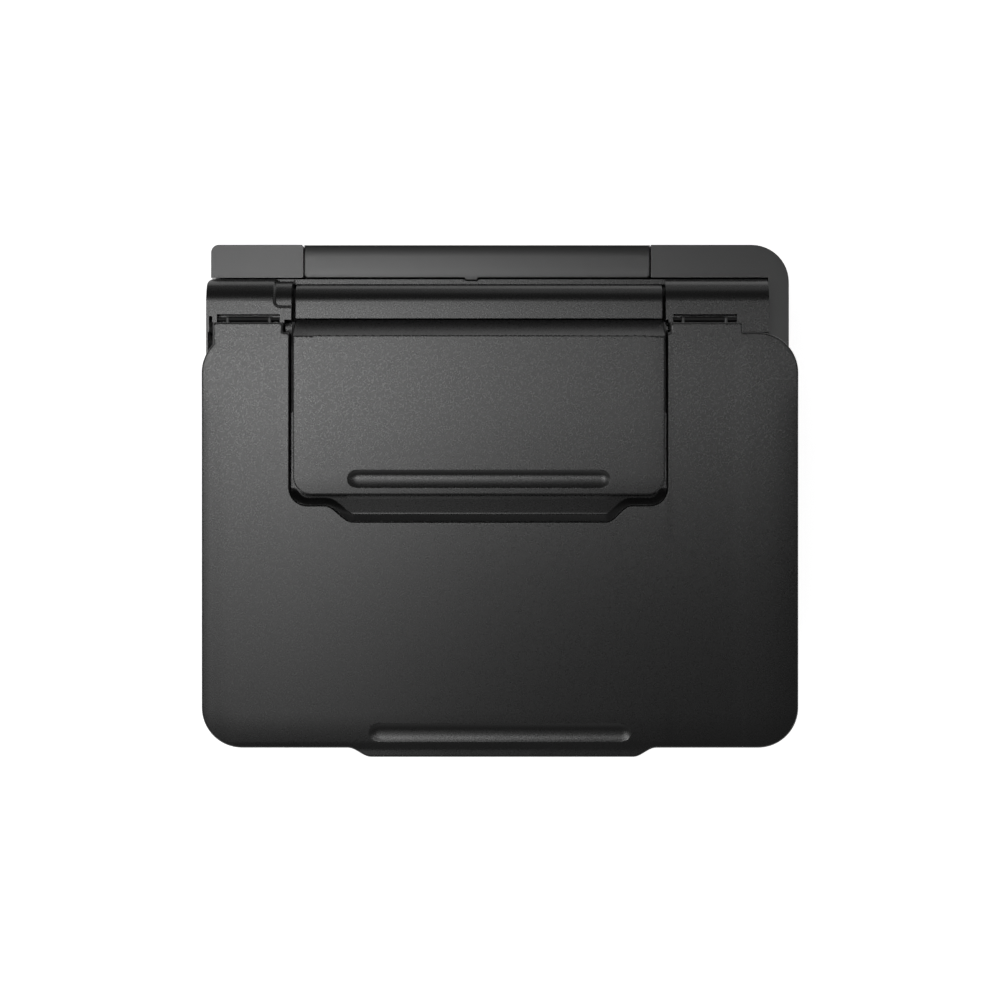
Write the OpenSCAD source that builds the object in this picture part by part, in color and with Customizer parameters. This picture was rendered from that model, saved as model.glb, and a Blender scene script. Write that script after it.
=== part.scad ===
/* [Case] */
// Width of the case
body_w = 403; // [401:0.5:405]
// Front face of the lower case, measured from the middle
front_y = -166; // [-166.5:0.1:-165.8]
// Rear face of the lower case
rear_y = 175.8; // [175.6:0.1:176]
// Thickness of the moulded walls
wall = 2.4; // [2:0.1:2.6]
// Radius of the large vertical corners
corner_r = 27; // [25:0.5:28]

/* [Lid] */
// Underside of the lid
lid_z = 150.4; // [150.2:0.1:150.6]
// Top of the lid and of the document tray
top_z = 193; // [192:0.5:194]
// Front edge of the lid
lid_front_y = -169.6; // [-170:0.1:-169]
// Front edge of the finger lip
lip_y = -175.8; // [-176:0.1:-175]
// Rear edge of the lid between its hinges
lid_rear_y = 111; // [110.5:0.1:111.2]
// Width of the document tray
adf_w = 251; // [250:0.5:251.5]
// Middle of the document feeder, left of the middle of the lid
adf_cx = -14.2; // [-14.4:0.1:-14]

/* [Paper path] */
// Middle of the paper path
paper_x = -15; // [-15.2:0.1:-14.8]
// Width of the cassette
cassette_w = 248; // [246:0.5:248.5]
// Height of the feed roller's axis
roller_z = 62; // [61.8:0.1:62.2]
// Depth of the feed roller's axis
feed_y = 40; // [39.8:0.1:40.2]
// Gear module of the paper drive
gear_m = 0.75; // [0.75:0.25:0.75]

/* [Hidden] */

half_w = body_w / 2;
case_z = 4;          // underside of the bottom case, above its feet
seam_z = 126;        // where the scanner unit meets the lower case
band_z = 148;        // top of the rear band and of the scanner frame
housing_z = 171.5;   // top of the hinge housings
gap = 0.4;           // moulding gap between neighbours
corner_steps = 12;   // facets in a large corner
pin_gap = 0.08;      // radial clearance of a running fit
ear_x = [[-177, -173], [169, 173]];   // hinge ears that carry the scanner unit

// Lid hinge axis, across the two hinge housings
lid_axis = [122, 168.6];        // y, z
// Scanner hinge axis, low in the same housings
scanner_axis = [147.5, 146.5];
// Axis of the document tray
tray_axis = [113.5, 177];
// The opening in the lid around the document feeder
adf_x0 = adf_cx - adf_w / 2;
adf_x1 = adf_cx + adf_w / 2;
well_x0 = adf_x0 - 2.8;
well_x1 = adf_x1 + 2.2;
// Hinge housings of the scanner frame
house_l = [-half_w, -143.2];
house_r = [113.8, 184.6];
// Rear band, where the rear tray cover lies between two fixed ends
band_l = -137;
band_r = 105;
band_y = 152.2;
end_y = 152.8;        // front of its two fixed ends, clear of the tipping housings
strip_x = 187;       // inner edge of the band along the right side
strip_y = 100;       // where that band ends, under the lid

// Front openings, from the bottom up
mouth_x0 = paper_x - cassette_w / 2 - 0.8;
mouth_x1 = paper_x + cassette_w / 2 + 0.8;
cassette_top = 46;
tray_z = [47, 58.6];
cover_z = [59.6, 84.8];
mouth_top = 85.4;
cass_x0 = paper_x - cassette_w / 2;
cass_x1 = paper_x + cassette_w / 2;

// Operation panel, hinged along its rounded top edge
panel_x = [-172, 16];
panel_z = [87, 123.4];
panel_axis = [front_y + 3.5, panel_z[1] - 3.5];
button_face = front_y - 1;
// middle of each button and of the display: x, z
power_at = [-159, 105];
back_at = [-88, 105];
pad_at = [-64, 105];
stop_at = [-38, 105];
black_at = [-18, 105];
colour_at = [2, 105];
display_at = [-124, 105];

// Print carriage
shaft_at = [56, 82];        // y, z of the guide shaft
belt_at = [57.5, 62.5, 101]; // y from, y to, z of the pulley axes
belt_r = 6;
belt_t = 1.2;
pulley_x = 180;
home_x = 150;
frame_l = [-154, -152];
frame_r = [113.6, 115.6];
back_plate_y = [66, 67.5];

// Gear teeth
feed_teeth = 48;
idler_teeth = 22;
eject_teeth = 24;
pinion_teeth = 12;
idler_y = feed_y - gear_m * (feed_teeth + idler_teeth) / 2;
eject_y = idler_y - gear_m * (idler_teeth + eject_teeth) / 2;
pinion_z = roller_z - gear_m * (feed_teeth + pinion_teeth) / 2;
gear_x = [-150, -146];

// ---------- helpers ----------

// A box between two corners
module box(x, y, z)
    translate([x[0], y[0], z[0]]) cube([x[1] - x[0], y[1] - y[0], z[1] - z[0]]);

// Points of an arc about c, from angle a to angle b
function arc(c, r, a, b, n) =
    r <= 0 ? [c] : [for (i = [0:n]) c + r * [cos(a + (b - a) * i / n), sin(a + (b - a) * i / n)]];

// Rectangle with its own radius at front left, front right, rear right and rear left
function round_rect(x0, y0, x1, y1, r, n = corner_steps) = concat(
    arc([x0 + r[0], y0 + r[0]], r[0], 180, 270, n),
    arc([x1 - r[1], y0 + r[1]], r[1], 270, 360, n),
    arc([x1 - r[2], y1 - r[2]], r[2], 0, 90, n),
    arc([x0 + r[3], y1 - r[3]], r[3], 90, 180, n));

function shrink(r, by) = [for (v = r) max(v - by, 0)];

// Outline of the lower case, moved inwards
case_radii = [corner_r, corner_r, 26, 5.5];
module case_outline(inset = 0)
    polygon(round_rect(-half_w + inset, front_y + inset, half_w - inset, rear_y - inset,
                       shrink(case_radii, inset)));

module upright(z) translate([0, 0, z[0]]) linear_extrude(z[1] - z[0]) children();

// A profile in y and z, extruded along x
module along_x(x) translate([x[0], 0, 0]) rotate([90, 0, 90]) linear_extrude(x[1] - x[0]) children();

module rod_x(x, at, r)
    translate([x[0], at[0], at[1]]) rotate([0, 90, 0]) cylinder(h = x[1] - x[0], r = r, $fn = 48);
module rod_y(y, at, r)
    translate([at[0], y[1], at[1]]) rotate([90, 0, 0]) cylinder(h = y[1] - y[0], r = r, $fn = 48);
module rod_z(z, at, r)
    translate([at[0], at[1], z[0]]) cylinder(h = z[1] - z[0], r = r, $fn = 48);

// Spur gear in its own plane, with straight-flanked teeth and some backlash
module gear_2d(teeth, phase = 0) {
    r = gear_m * teeth / 2;
    step = 360 / teeth;
    tip = r + 0.75 * gear_m;
    root = r - 1.15 * gear_m;
    polygon([for (i = [0:teeth - 1]) each [
        for (p = [[root, -0.30], [tip, -0.12], [tip, 0.12], [root, 0.30]])
            let (a = phase + (i + p[1]) * step) p[0] * [cos(a), sin(a)]]]);
}
module gear_x(x, at, teeth, phase = 0)
    translate([x[0], at[0], at[1]]) rotate([90, 0, 90])
        linear_extrude(x[1] - x[0]) gear_2d(teeth, phase);

// ---------- lower case ----------

module bottom_case() color("#1b1b1d") {
    inner = [case_z + wall, 24];
    difference() {
        upright([case_z, 20]) case_outline(wall + 0.3);
        upright(inner) case_outline(2 * wall + 0.3);
        box([mouth_x0 - 1, mouth_x1 + 1], [front_y - 1, front_y + 14], inner);
        for (p = foot_places) rod_z([case_z - 1, case_z + 1], p, 9.3);
        for (i = [0:9]) box([134 + i * 5, 136.5 + i * 5], [-90, -60], [case_z - 1, case_z + wall + 1]);
    }
    // runners on both sides of the cassette
    for (x = [mouth_x0 - 3, mouth_x1 + 0.5])
        box([x, x + 2.5], [-150, 122], [case_z + wall - 0.5, 45]);
}
foot_places = [[-170, -135], [170, -135], [-170, 145], [170, 145]];

module rubber_feet() color("#101010")
    for (p = foot_places) rod_z([0, case_z + 1], p, 9);

module side_ring(z) difference() {
    upright(z) case_outline(0);
    upright([z[0] - 1, z[1] + 1]) case_outline(wall);
}

module scanner_ear(x) {
    box(x, [145.3, 153.6], [112, seam_z - 0.8]);
    box(x, [145.3, 149.7], [112, scanner_axis[1]]);
    rod_x(x, scanner_axis, 2.6);
    rod_x([x[0] - 3, x[1] + 3], scanner_axis, 1.8);
}
module left_side_cover() color("#2a2a2c") {
    scanner_ear(ear_x[0]);
    intersection() {
        side_ring([case_z + 2, seam_z - 0.8]);
        box([-half_w - 1, band_l - 0.2], [-119.8, rear_y + 1], [0, 200]);
    }
    difference() {
        upright([110, band_z])
            polygon(round_rect(-half_w, end_y, band_l - 0.2, rear_y, [0, 1.5, 1.5, 5.5]));
        upright([109, band_z - wall])
            polygon(round_rect(-half_w + wall, end_y + wall, band_l - 0.2 - wall, rear_y - wall,
                               [0, 0, 0, 3.1]));
    }
}

module right_side_cover() color("#2a2a2c") {
    scanner_ear(ear_x[1]);
    intersection() {
        side_ring([case_z + 2, seam_z - 0.8]);
        box([band_r + 0.2, half_w + 1], [-119.8, rear_y + 1], [0, 200]);
    }
    difference() {
        intersection() {
            upright([110, band_z]) case_outline(0);
            union() {
                box([band_r + 0.2, half_w + 1], [end_y, rear_y + 1], [0, 200]);
                box([strip_x, half_w + 1], [strip_y, rear_y + 1], [0, 200]);
            }
        }
        intersection() {
            upright([109, band_z - wall]) case_outline(wall);
            union() {
                box([band_r + 0.2 + wall, half_w], [end_y + wall, rear_y], [0, 200]);
                box([strip_x + wall, half_w], [strip_y + wall, rear_y], [0, 200]);
            }
        }
    }
}

module front_bezel() color("#232325") {
    difference() {
        intersection() {
            side_ring([case_z + 2, seam_z - 0.8]);
            box([-half_w - 1, half_w + 1], [front_y - 1, -120.2], [0, 200]);
        }
        box([mouth_x0, mouth_x1], [front_y - 1, front_y + 10], [0, mouth_top]);
        for (x = [[mouth_x0 - 3, mouth_x0], [mouth_x1, mouth_x1 + 3]])
            rod_x(x, cover_axis, 1 + pin_gap);
        box([panel_x[0] - 0.6, panel_x[1] + 0.6], [front_y - 1, front_y + 10], [panel_z[0] - 0.6, 200]);
        rod_x([panel_x[0] - 3.6, panel_x[1] + 3.6], panel_axis, 1.5 + pin_gap);
    }
    // ears that carry the output cover's pins
    for (x = [[mouth_x0 - 4, mouth_x0], [mouth_x1, mouth_x1 + 4]]) difference() {
        box(x, [front_y + 0.4, front_y + 5], [cover_z[0] - 1, cover_z[0] + 6]);
        rod_x([x[0] - 1, x[1] + 1], cover_axis, 1 + pin_gap);
    }
    // ears that carry the operation panel's pins
    for (x = [[panel_x[0] - 3.6, panel_x[0] - 0.6],
              [panel_x[1] + 0.6, panel_x[1] + 3.6]]) difference() {
        box(x, [front_y + wall - 0.2, front_y + 12], [panel_z[0] + 16, seam_z - 0.6]);
        rod_x([x[0] - 1, x[1] + 1], panel_axis, 1.5 + pin_gap);
    }
}

module rear_panel() color("#232325") {
    inlet = [78, 100];
    usb = [-128, -114];
    difference() {
        intersection() {
            side_ring([case_z + 2, 87.6]);
            box([band_l + 0.2, band_r - 0.2], [rear_y - 20, rear_y + 1], [0, 200]);
        }
        box([-100.4, 70.4], [rear_y - 20, rear_y + 1], [23.6, 82.4]);
        box(inlet, [rear_y - 20, rear_y + 1], [20, 44]);
        box(usb, [rear_y - 20, rear_y + 1], [26, 40]);
        for (i = [0:6]) box([-131, -112], [rear_y - 20, rear_y + 1], [50 + i * 4.6, 52 + i * 4.6]);
    }
}

module transport_cover() color("#1f1f21") difference() {
    union() {
        box([-100, 70], [rear_y - wall, rear_y], [24, 82]);
        // curved guide that turns the sheet from the cassette up to the feed roller
        along_x([-96, 66]) polygon(concat(
            arc([rear_y - 26, 52], 26 - wall + 0.2, -80, 80, 12),
            arc([rear_y - 26, 52], 20, 80, -80, 12)));
    }
    for (s = [-1, 1]) box([-15 + s * 55 - 12, -15 + s * 55 + 12], [rear_y - 1.2, rear_y + 1], [48, 58]);
}

module rear_sockets() color("#0d0d0d") {
    difference() {
        box([78.4, 99.6], [rear_y - 17, rear_y - 0.6], [20.4, 43.6]);
        box([81, 97], [rear_y - 13, rear_y + 1], [26, 38]);
    }
    for (x = [86, 92]) rod_y([rear_y - 14, rear_y - 4], [x, 32], 1.2);
    difference() {
        box([-127.6, -114.4], [rear_y - 15, rear_y - 0.6], [26.4, 39.6]);
        box([-125, -117], [rear_y - 12, rear_y + 1], [29, 37]);
    }
    box([-123.5, -118.5], [rear_y - 13, rear_y - 2.5], [31.5, 34.5]);
}

module power_supply() color("#8b8d8f") difference() {
    box([-195, -160], [-108, -12], [8, 72]);
    for (i = [0:8]) box([-161, -150], [-100 + i * 10, -96 + i * 10], [20, 60]);
}

// ---------- print engine ----------

module chassis() color("#a9adb0") {
    difference() {
        union() {
            box([-192, 192], back_plate_y, [80, 120]);
            box([-192, 192], [65, back_plate_y[1]], [118.5, 120]);
            for (x = [frame_l, frame_r]) {
                box(x, [-16, back_plate_y[1]], [8, 68]);
                box(x, [65, back_plate_y[1]], [60, 120]);
            }
            for (x = [[-192, -190], [190, 192]]) box(x, [48, back_plate_y[1]], [72, 120]);
        }
        for (x = [frame_l, frame_r]) {
            rod_x([x[0] - 1, x[1] + 1], [feed_y, roller_z], 4 + pin_gap);
            rod_x([x[0] - 1, x[1] + 1], [eject_y, roller_z], 2 + pin_gap);
            rod_x([x[0] - 1, x[1] + 1], arm_pivot, 2 + pin_gap);
        }
        rod_x([frame_l[0] - 1, frame_l[1] + 1], [idler_y, roller_z], 1.5 + pin_gap);
        rod_x([frame_l[0] - 1, frame_l[1] + 1], [feed_y, pinion_z], 1.8);
        rod_y([60, 70], [-pulley_x, belt_at[2]], 3);
        rod_y([60, 70], [pulley_x, belt_at[2]], 1.5 + pin_gap);
        for (i = [0:11]) box([-120 + i * 19, -108 + i * 19], [60, 70], [86, 92]);
    }
    // steel shaft the carriage runs on
    rod_x([-193.5, 193.5], shaft_at, 4);
}

module platen() color("#161617") {
    difference() {
        box([-138, 108], [4, 31], [59, 65]);
        box([-132, 102], [10, 26], [62, 66]);
    }
    for (i = [0:16]) box([-130 + i * 14, -128.4 + i * 14], [4.5, 30.5], [61.5, 66]);
}

module pinch_roller_holder() color("#202022") {
    box([-140, 108], [50, 65.8], [73, 76]);
    box([-140, 108], [61.9, 65.8], [73, 81]);
    for (i = [0:5]) {
        x = -128 + i * 41;
        box([x + 2, x + 18], [44, 50.5], [73, 75]);
        rod_x([x, x + 20], [41, 72], 3.4);
    }
}

// The feed motor and the carriage motor
module drive_motors() color("#9fa2a5") {
    union() {
        rod_x([-186, frame_l[0]], [feed_y, pinion_z], 13);
        rod_x([-190, -186], [feed_y, pinion_z], 5);
    }
    union() {
        rod_y([back_plate_y[1], 96], [-pulley_x, belt_at[2]], 12);
        rod_y([96, 99], [-pulley_x, belt_at[2]], 4.5);
    }
}

module stadium(r) union() {
    for (s = [-1, 1]) translate([s * pulley_x, 0]) circle(r = r, $fn = 40);
    square([2 * pulley_x, 2 * r], center = true);
}
module carriage_belt() color("#111111")
    translate([0, belt_at[1], belt_at[2]]) rotate([90, 0, 0])
        linear_extrude(belt_at[1] - belt_at[0]) difference() {
            stadium(belt_r + 0.1 + belt_t);
            stadium(belt_r + 0.1);
        }

module purge_unit() color("#1c1c1e") {
    difference() {
        box([118, 186], [-12, 48], [8, 64]);
        box([121, 183], [-9, 45], [20, 61]);
        box([110, 190], [-5, 30], [24, 50]);
    }
    for (x = [121, 155]) difference() {
        box([x, x + 26], [2, 40], [64, 68.4]);
        box([x + 2, x + 24], [4, 38], [66, 69]);
    }
}

module rear_feed_ramp() color("#1e1e20") {
    along_x([-136, 104]) polygon([[76, 73.5], [170.6, 109.5], [170.6, 112.5], [76, 76]]);
    for (x = [[-136, -133.6], [101.6, 104]]) difference() {
        along_x(x) polygon([[98, 83], [172, 111], [172, 144.5], [153, 144.5], [153, 124.5],
                            [98, 124.5]]);
        rod_x([x[0] - 1, x[1] + 1], rear_roller_at, 2.4 + pin_gap);
    }
}

module feed_roller() color("#3a3b3d") {
    rod_x([-158, 117], [feed_y, roller_z], 4);
    rod_x([-132, 102], [feed_y, roller_z], 6);
    gear_x(gear_x, [feed_y, roller_z], feed_teeth);
}
module feed_idler_gear() color("#e4e2dc") {
    gear_x(gear_x, [idler_y, roller_z], idler_teeth, 180 / idler_teeth);
    rod_x([-156, -144], [idler_y, roller_z], 1.5);
}
module feed_pinion() color("#c9a558") {
    rod_x([frame_l[0] + 0.4, -144], [feed_y, pinion_z], 1.2);
    gear_x(gear_x, [feed_y, pinion_z], pinion_teeth, 90 + 180 / pinion_teeth);
}
module eject_roller() color("#2b2b2d") {
    rod_x([-158, 117], [eject_y, roller_z], 2);
    gear_x(gear_x, [eject_y, roller_z], eject_teeth);
    for (i = [0:5]) rod_x([-124 + i * 40, -108 + i * 40], [eject_y, roller_z], 3.1);
}

module pulley(x, shaft_y) color("#d8d6d0") {
    rod_y([belt_at[0] + 0.1, belt_at[1] - 0.1], [x, belt_at[2]], belt_r - 0.1);
    rod_y([shaft_y[0], shaft_y[1]], [x, belt_at[2]], 1.5);
    for (y = [belt_at[0] - 1, belt_at[1] + 0.2]) rod_y([y, y + 0.8], [x, belt_at[2]], belt_r + 0.8);
}
module motor_pulley() pulley(-pulley_x, [55, back_plate_y[1] - 0.2]);
module idler_pulley() pulley(pulley_x, [55, back_plate_y[1] + 2]);

carriage_x = [home_x - 32, home_x + 32];
module carriage() color("#202123") difference() {
    union() {
        along_x(carriage_x) polygon([[2, 70], [33, 70], [33, 79], [50, 79], [50, 104], [2, 104]]);
        for (x = [[carriage_x[0], carriage_x[0] + 9], [carriage_x[1] - 9, carriage_x[1]]])
            box(x, [49.5, 61.5], [76.5, 88.5]);
        box([home_x - 8, home_x + 8], [49.5, 64], [90.5, 98.5]);
    }
    for (s = [-1, 1]) {
        x = home_x + s * 15.25;
        box([x - 14, x + 14], [1, 48], [81, 105]);
        box([x - 14, x + 14], [5, 31], [72.4, 82]);
        box([x - 10, x + 10], [9, 27], [69, 73]);
    }
    rod_x([carriage_x[0] - 1, carriage_x[1] + 1], shaft_at, 4 + pin_gap);
    box([home_x - 9, home_x + 9], [belt_at[0] - 0.5, 65], [93.2, 95.4]);
}

// The black and the colour cartridge, side by side
module ink_cartridges() color("#2d2e30") for (s = [-1, 1]) {
    x = home_x + s * 15.25;
    along_x([x - 13.6, x + 13.6]) polygon([[5.4, 74], [30.6, 74], [30.6, 81.4], [47.6, 81.4],
        [47.6, 100], [3, 106], [3, 90], [5.4, 82]]);
}

// ---------- cassette ----------

module cassette_tray() color("#1d1d1f") {
    inner = [cass_x0 + 2, cass_x1 - 2];
    difference() {
        box([cass_x0, cass_x1], [front_y + 4, 120], [8, 42]);
        box(inner, [front_y + 8, 118], [10, 43]);
        box([inner[0], inner[1]], [110, 121], [11.5, 43]);
    }
    difference() {
        box([mouth_x0 + 0.4, mouth_x1 - 0.4], [front_y, front_y + 4.5], [8, cassette_top]);
        // finger scoop
        box([paper_x - 42, paper_x + 42], [front_y - 1, front_y + 3], [12, 26]);
    }
}
module cassette_guide(side) color("#2b2b2d") {
    x = side < 0 ? cass_x0 + 14 : cass_x1 - 14;
    box([x - 1, x + 1], [-50, 50], [10.3, 34]);
    box(side < 0 ? [x, x + 34] : [x - 34, x], [-16, 16], [10.3, 12]);
    box([x - 4, x + 4], [-6, 6], [33, 38]);
}
module cassette_guide_left() cassette_guide(-1);
module cassette_guide_right() cassette_guide(1);
module cassette_length_guide() color("#2b2b2d") {
    box([paper_x - 30, paper_x + 30], [-146, -144], [10.3, 32]);
    box([paper_x - 12, paper_x + 12], [-146, -110], [10.3, 12]);
}

arm_pivot = [58, 50];
roller_at = [98, 27];
module pickup_arm() color("#242426") difference() {
    union() {
        for (x = [[paper_x - 22, paper_x - 19], [paper_x + 19, paper_x + 22]])
            along_x(x) polygon([[54, 46], [60, 45.6], [95, 22.5], [101, 24], [102, 30], [62, 54],
                                [54, 54]]);
        box([paper_x - 22, paper_x + 22], [66, 72], [47.0, 49.4]);
        rod_x([frame_l[0] - 1.4, frame_r[1] + 1.4], arm_pivot, 2);
    }
    for (x = [[paper_x - 23, paper_x - 18], [paper_x + 18, paper_x + 23]])
        rod_x(x, roller_at, 2 + pin_gap);
}
module pickup_roller() color("#4a4b4d") {
    rod_x([paper_x - 22, paper_x + 22], roller_at, 2);
    for (x = [[paper_x - 17, paper_x - 3], [paper_x + 3, paper_x + 17]]) rod_x(x, roller_at, 10);
    rod_x([paper_x - 3.5, paper_x + 3.5], roller_at, 5);
}

rear_roller_at = [112, 102];
module rear_pickup_roller() color("#4a4b4d") {
    rod_x([-136.4, 104.4], rear_roller_at, 2.4);
    for (x = [[paper_x - 32, paper_x - 12], [paper_x + 12, paper_x + 32]]) rod_x(x, rear_roller_at, 10);
}
module rear_guide(side) color("#2b2b2d") {
    x = side < 0 ? paper_x - 110 : paper_x + 110;
    box([x - 1, x + 1], [154, 170.6], [114, 143]);
    box([x - 4, x + 4], [158, 170.6], [113.4, 117]);
}
module rear_guide_left() rear_guide(-1);
module rear_guide_right() rear_guide(1);

// ---------- paper output ----------

lip_x = [paper_x - 46, paper_x + 46];
module output_tray() color("#1f1f21") {
    box([mouth_x0 + 6, mouth_x1 - 6], [front_y + 3, -20], [49.5, 52.5]);
    difference() {
        box([mouth_x0 + 0.4, mouth_x1 - 0.4], [front_y, front_y + 4], tray_z);
        box([lip_x[0] - 0.4, lip_x[1] + 0.4], [front_y - 1, front_y + 5], [52.9, 60]);
    }
    for (x = [[mouth_x0 + 6, mouth_x0 + 8.5], [mouth_x1 - 8.5, mouth_x1 - 6]])
        box(x, [front_y + 3, -20], [49.5, 57]);
}
module output_extension() color("#28282a") {
    box(lip_x, [front_y, front_y + 3], [53.3, tray_z[1]]);
    box([lip_x[0] + 3, lip_x[1] - 3], [front_y + 2, -60], [53.3, 55.3]);
}
cover_axis = [front_y + 1.8, cover_z[0] + 1.8];
module output_cover() color("#1b1b1d") {
    x = [mouth_x0 + 0.4, mouth_x1 - 0.4];
    along_x(x) polygon(concat(
        arc(cover_axis, 1.8, 180, 360, 10),
        [[front_y + 2.6, cover_z[0] + 4], [front_y + 2.6, cover_z[1]], [front_y, cover_z[1]]]));
    for (e = [[x[0] + 20, x[0] + 23], [x[1] - 23, x[1] - 20]])
        box(e, [front_y + 2, front_y + 6], [cover_z[0] + 8, cover_z[0] + 16]);
    rod_x([x[0] - 2.6, x[1] + 2.6], cover_axis, 1);
}

// ---------- rear tray ----------

support_axis = [rear_y - 3, 91];
module paper_support() color("#28282a") {
    x = [band_l + 0.2, band_r - 0.2];
    y = rear_y;
    along_x(x) polygon([[y, support_axis[1]], [y, 144.6], [y - 2, 144.6], [y - 2, 99],
        [y - 5.6, 96], [y - 5.6, support_axis[1]]]);
    rod_x(x, support_axis, 2.9);
}
module rear_tray_cover() color("#2c2c2e") {
    x = [band_l + 0.3, band_r - 0.3];
    difference() {
        upright([145, band_z]) polygon(round_rect(x[0], band_y + 0.2, x[1], rear_y, [0.5, 0.5, 2, 2]));
        box([x[0] + wall, x[1] - wall], [band_y + 3, rear_y - 8], [144, 145.8]);
    }
    // telescopic sheet that slides up inside the paper support
    box([paper_x - 80, paper_x + 80], [rear_y - 4.6, rear_y - 2.6], [101, 145.4]);
    // finger tab
    box([-24.5, -15.5], [band_y - 1.4, band_y + 1], [145.6, 147.4]);
}

// ---------- operation panel ----------

module operation_panel() color("#19191b") {
    face = [front_y, front_y + 2.4];
    difference() {
        union() {
            along_x([panel_x[0], panel_x[1]]) polygon(concat(
                arc(panel_axis, 3.5, 180, 0, 12),
                [[front_y + 7, panel_z[0]], [front_y, panel_z[0]]]));
            rod_x([panel_x[0] - 3.2, panel_x[1] + 3.2], panel_axis, 1.5);
        }
        box([panel_x[0] + 2, panel_x[1] - 2], [face[1], front_y + 8],
            [panel_z[0] + 2, panel_z[1] - 5.4]);
        box([display_at[0] - 24, display_at[0] + 24], [front_y - 1, front_y + 1.2],
            [display_at[1] - 12.6, display_at[1] + 10.6]);
        rod_y([front_y - 1, front_y + 3], power_at, 6 + 0.35);
        rod_y([front_y - 1, front_y + 3], back_at, 5 + 0.35);
        rod_y([front_y - 1, front_y + 3], pad_at, 11.2 + 0.35);
        rod_y([front_y - 1, front_y + 3], stop_at, 5.5 + 0.35);
        rod_y([front_y - 1, front_y + 3], black_at, 6.5 + 0.35);
        rod_y([front_y - 1, front_y + 3], colour_at, 6.5 + 0.35);
    }
}
module display() color("#050506")
    box([display_at[0] - 23.6, display_at[0] + 23.6], [front_y + 0.1, front_y + 1.2],
        [display_at[1] - 12.2, display_at[1] + 10.2]);

// A round button: its cap stands proud, and a wider flange behind the panel keeps it in
module button(at, r) {
    rod_y([button_face, front_y + 3], at, r);
    rod_y([front_y + 2.7, front_y + 4], at, r + 1.4);
}
module power_button() color("#d9dadb") button(power_at, 6);
module back_button() color("#3b3c3e") button(back_at, 5);
module stop_button() color("#8f3b35") button(stop_at, 5.5);
module black_start_button() color("#3b3c3e") button(black_at, 6.5);
module colour_start_button() color("#3b3c3e") button(colour_at, 6.5);
module arrow_pad() color("#303133") difference() {
    button(pad_at, 11.2);
    rod_y([front_y - 2, front_y + 5], pad_at, 5 + 0.35);
}
module ok_button() color("#4a4b4d") {
    rod_y([button_face - 0.2, front_y + 3], pad_at, 5);
    rod_y([front_y + 5.2, front_y + 5.9], pad_at, 8);
    rod_y([front_y + 2.8, front_y + 5.4], pad_at, 5);
}

// ---------- scanner unit ----------

scan_rear = 151.6;
module scanner_outline(inset = 0) difference() {
    polygon(round_rect(-half_w + inset, front_y - 0.5 + inset, half_w - inset, scan_rear - inset,
                       shrink([corner_r, corner_r, 0, 8], inset)));
    translate([strip_x - 0.6 - inset, strip_y - 0.6 - inset]) square([60, 100]);
}
// Room for the hinge ears of the side covers
module ear_notches() for (x = ear_x) {
    box([x[0] - 0.5, x[1] + 0.5], [138, 160], [seam_z - 1, 151.5]);
    rod_x([x[0] - 3.5, x[1] + 3.5], scanner_axis, 2.6);
}

module scanner_base() color("#222224") {
    difference() {
        upright([seam_z, 142]) scanner_outline();
        upright([seam_z + wall, 143]) scanner_outline(wall);
        // the feeder swings down here when the lid opens
        box([house_l[1], house_r[0]], [108, 148.2], [136.4, 150]);
        ear_notches();
    }
    // rails of the scanning bar
    for (y = [-152, 74]) box([-178, 132], [y, y + 3], [seam_z + wall - 0.3, 137]);
}
glass_x = [-174, 130];
glass_y = [-149, 72];
module scanner_frame() color("#242426") {
    difference() {
        union() {
            difference() {
                upright([142.2, band_z]) scanner_outline();
                upright([141, band_z - wall]) scanner_outline(wall);
            }
            house(house_l, [-197.2, -146.2], knuckle_slots[0], [-147.9, house_l[1] + 1], 5.5);
            house(house_r, [113.8, 165.6], knuckle_slots[1], [house_r[0] - 1, 115.6], 0);
        }
        box([glass_x[0] - 0.3, glass_x[1] + 0.3], [glass_y[0] - 0.3, glass_y[1] + 0.3], [144.8, 150]);
        box([glass_x[0] + 4, glass_x[1] - 4], [glass_y[0] + 4, glass_y[1] - 4], [140, 150]);
        box([house_l[1], house_r[0]], [108, 148.2], [136.4, 150]);
        ear_notches();
        // room for the finger tab of the rear tray cover
        box([-26, -14], [150, 153], [144.6, 149]);
    }
    // bosses around the hinge ears
    for (x = ear_x, s = [-1, 1]) {
        e = s < 0 ? [x[0] - 3.5, x[0] - 0.5] : [x[1] + 0.5, x[1] + 3.5];
        difference() {
            box(e, [144, 150.5], [142.8, 150]);
            rod_x([e[0] - 1, e[1] + 1], scanner_axis, 1.8 + pin_gap);
        }
    }
    // cheek beside the lid's corner
    box([-half_w, -200.3], [97, 126], [band_z - 1, housing_z]);
}
// Side view of the hinge housings, rounded over towards the rear
function house_side(inset) = concat(
    [[scan_rear - inset, band_z - 1]],
    arc([scan_rear - 17.6, housing_z - 17], 17 - inset, 0, 90, 14),
    [[113, housing_z - inset], [113, band_z - 1]]);
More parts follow.
